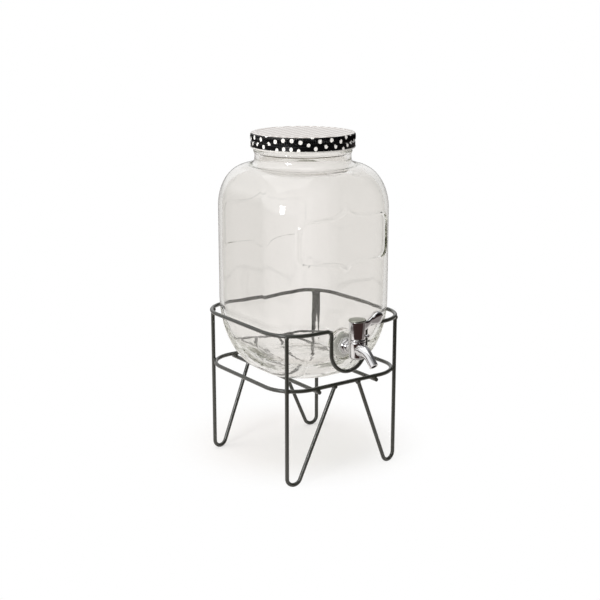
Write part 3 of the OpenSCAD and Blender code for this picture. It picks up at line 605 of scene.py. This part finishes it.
flange_y, barrel_y, pitch, shank_r, groove_deep = 79.1, 97.5, 1.5, 7.5, 0.45
shank = []
for y in (shank_y + (flange_y + 0.5 - shank_y) * k / 60 for k in range(61)):
    shank.append([])
    for t in (math.tau * i / 64 for i in range(64)):
        groove = groove_deep * (0.5 - 0.5 * math.cos(math.tau * y / pitch - t)) * (shank_y + 0.8 < y < seat_y)
        r = shank_r - groove
        shank[-1].append(along_tap @ Vector((r * math.cos(t), r * math.sin(t), y)))
tap = solid("tap", *skin(shank), chrome)
flange_r, narrowing, step_deep, flange_run, neck_thick_r = 9, 2.6, 1.7, 7.6, 5.9
neck = [Vector((core, flange_y))]
for k in range(25):
    bead = 1 - math.sqrt(1 - (k % 12 / 6 - 1) ** 2)
    neck.append(Vector((flange_r - narrowing * k / 24 - step_deep * bead, flange_y + flange_run * k / 24)))
neck += [Vector((neck_thick_r, flange_y + 8.2)), Vector((neck_thick_r, barrel_y)), Vector((core, barrel_y))]
join(tap, turned("neck", neck, chrome, along_tap))
upright = Matrix.Translation((0, -barrel_y, 0))
barrel_r, barrel_low, barrel_top = 8.8, 136.5, 156.4
barrel = rounded((core, barrel_low, 0), (5.2, barrel_low, 0.6), (barrel_r, barrel_low + 2.1, 2),
                 (barrel_r, barrel_top - 1.2, 0.6), (barrel_r - 0.5, barrel_top, 0.3), (core, barrel_top, 0))
join(tap, turned("barrel", barrel, chrome, upright))
root_z, bend_r, bend, straight, tail = tap_z + 1.5, 22, math.radians(46), 7, 8.5
length = straight + bend_r * bend + tail


def spout_at(run):
    """The spout's centreline, by the distance run along it from the barrel's axis."""
    arc = max(0, min(run - straight, bend_r * bend)) / bend_r
    over = max(0, run - straight - bend_r * bend)
    return (0, -barrel_y - min(run, straight) - bend_r * math.sin(arc) - over * math.cos(bend),
            root_z - bend_r * (1 - math.cos(arc)) - over * math.sin(bend), 0)


spout_d, root_swell, spout_bore, shank_bore_r, chamber_r, spigot_r = 9.4, 5.2, 6.2, 4, 6.2, 7.25
runs = [length * i / 40 for i in range(41)]
swell = [spout_d + root_swell * (0.5 + 0.5 * math.cos(math.pi * max(0, min(1, (r - 4) / 20)))) for r in runs]
join(tap, wire("spout", [spout_at(r) for r in runs], 1, chrome, thickness=swell, sides=48))
bore = [spout_at(r) for r in runs] + [spout_at(length + 2)]
join(tap, wire("bore", bore, spout_bore, chrome, sides=32), "DIFFERENCE")
over_top = barrel_top + 0.6
for name, outline, place in (("shank_bore", [(shank_bore_r, shank_y - 1), (shank_bore_r, barrel_y)], along_tap),
                             ("chamber", [(chamber_r, barrel_low + 2.4), (chamber_r, over_top)], upright),
                             ("spigot_seat", [(spigot_r, barrel_top - 2.8), (spigot_r, over_top)], upright)):
    join(tap, turned(name, outline, chrome, place), "DIFFERENCE")
fix(tap, "jar", "tap_chrome", "tap_body")

# The lock nut holds the tap from inside the jar: a hexagon nut of plated steel, screwed on the shank.
# Its outline follows the six flats, with the corners bevelled on both faces.
# Plated steel is less polished than the tap, so it shows blurred greys with a slightly yellow cast.
plated, tree, place = finish_of("plated_steel")
haze_mm = 4
haze = add(tree, "ShaderNodeTexNoise", {"Vector": place, "Scale": 1 / haze_mm, "Detail": 4.0})
polish = add(tree, "ShaderNodeMapRange", {"Value": haze.outputs[0], "To Min": 0.16, "To Max": 0.32})
tone = add(tree, "ShaderNodeMix", {0: haze.outputs[0], 6: linear("#b9b8b4"), 7: linear("#d2d1cd")},
           data_type="RGBA")
shader = add(tree, "ShaderNodeBsdfPrincipled", {
    "Base Color": tone.outputs[2], "Metallic": 1.0, "Roughness": polish.outputs["Result"]})
add(tree, "ShaderNodeOutputMaterial", {"Surface": shader.outputs[0]})
low, high = (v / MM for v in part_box("tap_lock_nut"))
flats, sixth, nut_hole, nut_bevel = (high.z - low.z) / 2, math.pi / 3, 7.6, 0.7
rows = ((-high.y, 0.9, nut_hole + 0.4), (-high.y + nut_bevel, 0, nut_hole),
        (-low.y - nut_bevel, 0, nut_hole), (-low.y, 0.9, nut_hole + 0.4))
circle = [math.tau * i / 96 for i in range(96)]
rings = []
for y, ease, hole in rows:
    reach = [min(flats / math.cos((t - quarter + sixth / 2) % sixth - sixth / 2), flats * 1.135 - ease)
             for t in circle]
    rings.append([along_tap @ Vector((r * math.cos(t), r * math.sin(t), y)) for r, t in zip(reach, circle)])
for y, ease, hole in reversed(rows):
    rings.append([along_tap @ Vector((hole * math.cos(t), hole * math.sin(t), y)) for t in circle])
fix(solid("lock_nut", *skin(rings, True), plated, 20), "jar", "nut", "tap_lock_nut")

# The plug, its two seals and its screw sit inside the barrel and the hub, out of sight, and keep their imported
# shape. The plug is moulded and turns in the seals, which let the drink pass only through its hole.
# Acetal is a waxy white, a little uneven, and nitrile rubber a dull near-black.
acetal, tree, place = finish_of("acetal")
cloud_mm = 2.5
patch = add(tree, "ShaderNodeTexNoise", {"Vector": place, "Scale": 1 / cloud_mm, "Detail": 2.0})
tone = add(tree, "ShaderNodeMix", {0: patch.outputs[0], 6: linear("#e6e5e0"), 7: linear("#f2f1ec")},
           data_type="RGBA")
shader = add(tree, "ShaderNodeBsdfPrincipled", {"Base Color": tone.outputs[2], "Roughness": 0.4})
add(tree, "ShaderNodeOutputMaterial", {"Surface": shader.outputs[0]})
rubber, tree, place = finish_of("nitrile_rubber")
bloom_mm = 0.833
patch = add(tree, "ShaderNodeTexNoise", {"Vector": place, "Scale": 1 / bloom_mm, "Detail": 2.0})
tone = add(tree, "ShaderNodeMix", {0: patch.outputs[0], 6: linear("#151515"), 7: linear("#242424")},
           data_type="RGBA")
shader = add(tree, "ShaderNodeBsdfPrincipled", {"Base Color": tone.outputs[2], "Roughness": 0.55})
add(tree, "ShaderNodeOutputMaterial", {"Surface": shader.outputs[0]})
for node, material, slot in (("valve_plug", acetal, "plug"), ("plug_seal_upper", rubber, "seal"),
                             ("plug_seal_lower", rubber, "seal"), ("lever_screw", plated, "screw")):
    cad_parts[node].data.materials.clear()
    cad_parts[node].data.materials.append(material)

# The bonnet ring closes the barrel and carries the lever: a thin chrome ring pressed into the barrel's top,
# with a short stop pin at the back.
low, high = (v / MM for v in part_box("bonnet_ring"))
stem_hole, bonnet_r, bonnet_top, fit = 4.1, 9.2, 158.1, 0.1
pin_r, pin_out, pin_way = 1.2, 6.05, math.radians(135)
outline = rounded((stem_hole, low.z, 0), (spigot_r - fit, low.z, 0.2), (spigot_r - fit, barrel_top, 0),
                  (bonnet_r, barrel_top, 0.5), (bonnet_r, bonnet_top, 0.5), (stem_hole, bonnet_top, 0.3))
bonnet = turned("bonnet", outline, chrome, upright, True)
pin_at = Matrix.Translation((pin_out * math.cos(pin_way), pin_out * math.sin(pin_way) - barrel_y, 0))
pin_low = bonnet_top - 0.9
outline = rounded((core, pin_low, 0), (pin_r, pin_low, 0), (pin_r, high.z, 0.3), (core, high.z, 0))
join(bonnet, turned("pin", outline, chrome, pin_at, sides=24))
fix(bonnet, "jar", "tap_chrome", "bonnet_ring")

# The lever turns the plug: a chrome hub with a flattened arm that leans and ends in a round finger pad, and a
# small knob on the hub's side. They are joined, and the hub is hollow under its cap and over the stem.
hub_r, hub_low, hub_top = 8.7, 158.4, 177.8
outline = rounded((core, hub_low, 0), (hub_r - 0.4, hub_low, 0.4), (hub_r, hub_low + 1.2, 0.4),
                  (hub_r, hub_top, 0.4), (core, hub_top, 0))
hub = turned("lever", outline, chrome, upright)
pad_x, pad_z, pad_r, pad_half, lean = 25.6, 177.4, 7.6, 4.8, math.radians(15)
arm_x, arm_z, arm_tall, arm_less, arm_half, squarish = 5, 171.4, 6.1, 1.3, 2.6, 0.72
rings = []
for k in range(73):
    x = arm_x + (pad_x + pad_r - arm_x) * (0.5 - 0.5 * math.cos(math.pi * min(1, 0.02 + 0.978 * k / 72)))
    share, ease = (max(0, min(1, v)) for v in ((x - 8) / 7, (x - 10) / 13))
    deep = arm_tall - arm_less * share * share * (3 - 2 * share)
    middle = arm_z + (pad_z - arm_z) * ease * ease * (3 - 2 * ease)
    pad = math.sqrt(max(0.003, pad_r ** 2 - (x - pad_x) ** 2))
    arm = max(0, min(1, (pad_x - x) / 4))
    tall = ((deep * arm) ** 5 + pad ** 5) ** 0.2 if abs(x - pad_x) < pad_r else deep
    wide = ((arm_half * arm) ** 5 + (pad_half * (pad / pad_r) ** 0.9) ** 5) ** 0.2
    rings.append([])
    for t in (math.tau * i / 64 for i in range(64)):
        flat, edge = (math.copysign(abs(v) ** squarish, v) for v in (math.cos(t), math.sin(t)))
        rings[-1].append((x, -barrel_y + wide * flat * math.cos(lean) - tall * edge * math.sin(lean),
                          middle + wide * flat * math.sin(lean) + tall * edge * math.cos(lean)))
join(hub, solid("arm", *skin(rings), chrome))
knob_way, knob_z, knob_r, knob_neck_r, knob_out = Vector((0.81, -0.58, 0)), 161.6, 1.9, 1.2, 13
knob_at = Matrix.Translation((0, -barrel_y, knob_z)) @ knob_way.to_track_quat("Z", "Y").to_matrix().to_4x4()
outline = rounded((core / 2, 7, 0), (knob_neck_r, 7, 0), (knob_neck_r, 9.8, 0.3), (knob_r, 10.4, 0.4),
                  (knob_r, knob_out, 1.4), (core / 2, knob_out, 0))
join(hub, turned("knob", outline, chrome, knob_at, sides=24))
for name, radius, from_z, to_z in (("recess", 5.5, 172, 179), ("screw_hole", 2, 160, 179),
                                   ("socket", 4, 157, 166)):
    join(hub, turned(name, [(radius, from_z), (radius, to_z)], chrome, upright, sides=48), "DIFFERENCE")
fix(hub, "lever", "tap_chrome", "tap_lever")

# The cap covers the lever's screw: a thin disc with rounded edges, pressed into the hub.
# Satin nickel is blasted before plating, and its grain is drawn ten times as coarse as it is, so that it shows.
# It gives a dull grey face, darker than the bright plating around it.
satin, tree, place = finish_of("satin_nickel")
grain_mm = 1.11
grain = add(tree, "ShaderNodeTexNoise", {"Vector": place, "Scale": 1 / grain_mm, "Detail": 3.0})
polish = add(tree, "ShaderNodeMapRange", {"Value": grain.outputs[0], "To Min": 0.24, "To Max": 0.4})
tone = add(tree, "ShaderNodeMix", {0: grain.outputs[0], 6: linear("#8f9288"), 7: linear("#b7b9af")},
           data_type="RGBA")
shader = add(tree, "ShaderNodeBsdfPrincipled", {
    "Base Color": tone.outputs[2], "Metallic": 1.0, "Roughness": polish.outputs["Result"]})
add(tree, "ShaderNodeOutputMaterial", {"Surface": shader.outputs[0]})
low, high = (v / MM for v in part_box("lever_cap"))
plug_r, cap_r = 5.3, 9.3
outline = rounded((core, low.z, 0), (plug_r, low.z, 0.2), (plug_r, hub_top, 0), (cap_r, hub_top, 0.5),
                  (cap_r, high.z, 0.7), (core, high.z, 0))
fix(turned("hub_cap", outline, satin, upright), "lever", "tap_chrome", "lever_cap")

# The liner seals the lid on the rim: a disc cut from foam sheet and glued into the lid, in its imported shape.
# Foamed polyethylene is pale and matt, with a skin of fine cells that is drawn three times as coarse as it is.
foam, tree, place = finish_of("foamed_polyethylene")
cell_mm = 0.625
cells = add(tree, "ShaderNodeTexVoronoi", {"Vector": place, "Scale": 1 / cell_mm})
tone = add(tree, "ShaderNodeMix", {0: cells.outputs[0], 6: linear("#f0ede4"), 7: linear("#dcd8cc")},
           data_type="RGBA")
bump = add(tree, "ShaderNodeBump", {"Height": cells.outputs[0], "Strength": 0.3, "Distance": 0.2 * MM})
shader = add(tree, "ShaderNodeBsdfPrincipled", {
    "Base Color": tone.outputs[2], "Roughness": 0.8, "Normal": bump.outputs[0]})
add(tree, "ShaderNodeOutputMaterial", {"Surface": shader.outputs[0]})
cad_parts["lid_liner"].data.materials.clear()
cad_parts["lid_liner"].data.materials.append(foam)

# The lid is pressed from printed tinplate: a pale striped top, a black skirt with white dots, a groove round
# the skirt, a rolled edge and a thread inside. Its skirt is ribbed for grip above the groove.
# Printed tinplate has inks laid on the flat blank before pressing, under a thin varnish. The eye sees crisp
# dots, soft stripes and a low gloss that is uneven where hands have rubbed it.
tinplate, tree, place = finish_of("printed_tinplate")
dot_pitch, dot_r, dot_blur, dots_way = 9.8, 2.25, 0.11, math.radians(142.3)
stripe_pitch, stripes_way = 8.6, math.radians(-23)
top_run, skirt_run, ink_blur, rub_mm = 55.5, 71, 0.2, 6.67
blank = add(tree, "ShaderNodeVectorMath", {0: add(tree, "ShaderNodeTexCoord").outputs["UV"], 1: (1 / MM,) * 3},
            operation="MULTIPLY").outputs[0]
out = add(tree, "ShaderNodeVectorMath", {0: blank}, operation="LENGTH")
aligned = add(tree, "ShaderNodeMapping", {"Vector": blank, "Rotation": (0, 0, dots_way)})
cell = add(tree, "ShaderNodeVectorMath", {
    0: aligned.outputs[0], 1: (1 / dot_pitch, 1 / dot_pitch, 0), 2: (0.5, 0.0, 0)}, operation="MULTIPLY_ADD")
share = add(tree, "ShaderNodeVectorMath", {0: cell.outputs[0]}, operation="FRACTION")
centred = add(tree, "ShaderNodeVectorMath", {0: share.outputs[0], 1: (0.5, 0.5, 0)}, operation="SUBTRACT")
apart = add(tree, "ShaderNodeVectorMath", {0: centred.outputs[0]}, operation="LENGTH")
dots = add(tree, "ShaderNodeMapRange", {
    "Value": apart.outputs["Value"], "From Min": (dot_r + dot_blur) / dot_pitch,
    "From Max": (dot_r - dot_blur) / dot_pitch})
skirt = add(tree, "ShaderNodeMix", {0: dots.outputs["Result"], 6: linear("#08080a"), 7: linear("#f4f2ee")},
            data_type="RGBA")
along = add(tree, "ShaderNodeMapping", {"Vector": blank, "Rotation": (0, 0, stripes_way)})
lines = add(tree, "ShaderNodeTexWave", {
    "Vector": along.outputs[0], "Scale": math.tau / 20 / stripe_pitch}, bands_direction="Y")
soft = add(tree, "ShaderNodeMapRange", {"Value": lines.outputs[1], "From Min": 0.2, "From Max": 0.8})
top = add(tree, "ShaderNodeMix", {0: soft.outputs["Result"], 6: linear("#ece8e4"), 7: linear("#c0b7b2")},
          data_type="RGBA")
edge = add(tree, "ShaderNodeMapRange", {
    "Value": out.outputs["Value"], "From Min": top_run - ink_blur, "From Max": top_run + ink_blur})
inked = add(tree, "ShaderNodeMix", {0: edge.outputs["Result"], 6: top.outputs[2], 7: skirt.outputs[2]},
            data_type="RGBA")
bare = add(tree, "ShaderNodeMapRange", {
    "Value": out.outputs["Value"], "From Min": skirt_run - ink_blur, "From Max": skirt_run + ink_blur})
colour = add(tree, "ShaderNodeMix", {0: bare.outputs["Result"], 6: inked.outputs[2], 7: linear("#d8d6d2")},
             data_type="RGBA")
rub = add(tree, "ShaderNodeTexNoise", {"Vector": place, "Scale": 1 / rub_mm, "Detail": 3.0})
gloss = add(tree, "ShaderNodeMapRange", {"Value": rub.outputs[0], "To Min": 0.2, "To Max": 0.34})
shader = add(tree, "ShaderNodeBsdfPrincipled", {
    "Base Color": colour.outputs[2], "Roughness": gloss.outputs["Result"], "Specular IOR Level": 0.28,
    "Coat Weight": 0.05, "Coat Roughness": 0.12})
add(tree, "ShaderNodeOutputMaterial", {"Surface": shader.outputs[0]})

ribs, given = node_tree("skirt_ribs", Count="Float", Depth="Float", Low="Float", High="Float",
                        Material="Material")
spot = add(ribs, "GeometryNodeInputPosition")
parts = add(ribs, "ShaderNodeSeparateXYZ", {0: spot.outputs[0]})
angle = add(ribs, "ShaderNodeMath", {0: parts.outputs["Y"], 1: parts.outputs["X"]}, operation="ARCTAN2")
phase = add(ribs, "ShaderNodeMath", {0: angle.outputs[0], 1: given["Count"]}, operation="MULTIPLY")
wave = add(ribs, "ShaderNodeMath", {0: phase.outputs[0]}, operation="COSINE")
rise_in = add(ribs, "ShaderNodeMapRange", {
    "Value": parts.outputs["Z"], "From Min": given["Low"], "From Max": given["High"]})
hump = add(ribs, "ShaderNodeMath", {0: rise_in.outputs["Result"], 1: math.pi}, operation="MULTIPLY")
fading = add(ribs, "ShaderNodeMath", {0: hump.outputs[0]}, operation="SINE")
even = add(ribs, "ShaderNodeMath", {0: fading.outputs[0], 1: 0.35}, operation="POWER")
tall = add(ribs, "ShaderNodeMath", {0: wave.outputs[0], 1: even.outputs[0]}, operation="MULTIPLY")
amount = add(ribs, "ShaderNodeMath", {0: tall.outputs[0], 1: given["Depth"]}, operation="MULTIPLY")
level_out = add(ribs, "ShaderNodeVectorMath", {0: spot.outputs[0], 1: (1, 1, 0)}, operation="MULTIPLY")
outward = add(ribs, "ShaderNodeVectorMath", {0: level_out.outputs[0]}, operation="NORMALIZE")
shift = add(ribs, "ShaderNodeVectorMath", {0: outward.outputs[0], "Scale": amount.outputs[0]}, operation="SCALE")
ribbed = add(ribs, "GeometryNodeSetPosition", {"Geometry": given["Geometry"], "Offset": shift.outputs[0]})
end_tree(ribs, given, ribbed.outputs[0])

low, high = (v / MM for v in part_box("lid_shell"))
r, z, end = high.x, high.z, low.z
skirt_r, inner_r = r - 0.3, r - 0.9
outline = rounded(
    (core, z, 0), (r - 8, z, 1), (r - 7, z + 0.35, 0.8), (r - 4.8, z + 0.35, 0.8), (r - 3.8, z, 0.8),
    (skirt_r, z, 1.8), (skirt_r, z - 7.6, 0.5), (r - 1.3, z - 8.4, 0.4), (r - 1.3, z - 8.9, 0.4),
    (skirt_r, z - 9.8, 0.5), (skirt_r, end + 1.9, 0.3), (r, end + 1.6, 0.2), (r, end, 0.85), (r - 1.8, end, 0.85),
    (r - 1.8, end + 1.5, 0.4), (inner_r, end + 2.0, 0.3), (inner_r, z - 10.0, 0.4), (r - 1.9, z - 9.1, 0.3),
    (r - 1.9, z - 8.2, 0.3), (inner_r, z - 7.4, 0.3), (inner_r, z - 0.6, 1.2), (core, z - 0.6, 0))
fine = []
for a, b in zip(outline, outline[1:]):
    count = max(1, math.ceil((b - a).length / (0.9 if a.x > 50 and b.x > 50 else 9)))
    fine += [a.lerp(b, i / count) for i in range(count)]
fine.append(outline[-1])
runs = [core]
for a, b in zip(fine, fine[1:]):
    runs.append(runs[-1] + (b - a).length)
sides, rib_count, rib_deep = 540, 180.0, 0.42
circle = [Vector((math.cos(math.tau * i / sides), math.sin(math.tau * i / sides))) for i in range(sides)]
points, faces = skin([[(*(p.x * at), p.y) for at in circle] for p in fine])
mesh = bpy.data.meshes.new("lid")
mesh.from_pydata([Vector(p) * MM for p in points], [], faces)
layer = mesh.uv_layers.new(name="blank")
for loop, corner in zip(mesh.loops, layer.data):
    row, column = divmod(loop.vertex_index, sides)
    corner.uv = runs[row] * circle[column] * MM
lid = grown("lid", mesh, ribs, Count=rib_count, Depth=rib_deep * MM, Low=(z - 7.4) * MM, High=(z - 1.4) * MM,
            Material=tinplate)
fix(tidy(lid, 40), "lid", "lid_print", "lid_shell")
angles = [quarter + math.tau * i / 120 for i in range(121)]
fix(thread("lid_thread", inner_r - 0.8, rim_z - thread_down - lead / 2, angles, 2.0, tinplate),
    "lid", "lid_print")
